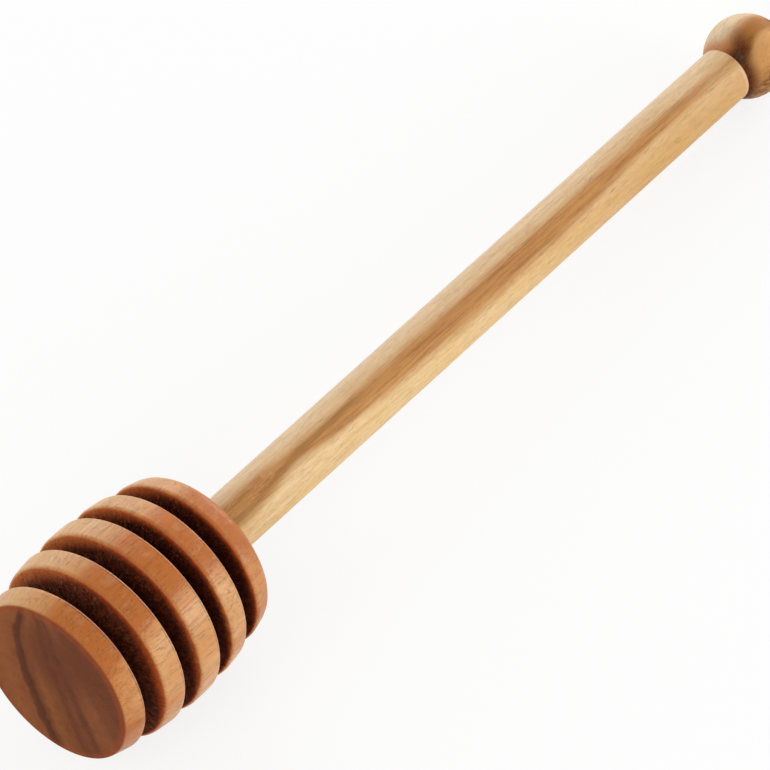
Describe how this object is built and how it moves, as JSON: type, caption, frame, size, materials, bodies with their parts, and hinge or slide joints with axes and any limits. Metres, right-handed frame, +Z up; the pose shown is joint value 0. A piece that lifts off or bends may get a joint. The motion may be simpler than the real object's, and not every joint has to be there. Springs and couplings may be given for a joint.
{
  "type": "honey dipper",
  "caption": "Turned wooden honey dipper: a grooved, barrel-shaped head glued on a straight handle that ends in a ball.",
  "frame": {"origin": "centre of the bottom of the bounding box, on the table that the dipper lies on", "axes": "+X along the dipper from its head to its ball, level with the table, +Z up"},
  "size_m": [0.1604, 0.0288, 0.0289],
  "materials": {
    "head_wood": "reddish-brown turned wood, oiled, satin",
    "handle_wood": "pale turned wood with a wide brown stripe, oiled, satin",
    "glue": "cured wood glue"
  },
  "bodies": {
    "root": {"head": "head_wood", "handle": "handle_wood", "glue_film": "glue"}
  },
  "joints": []
}
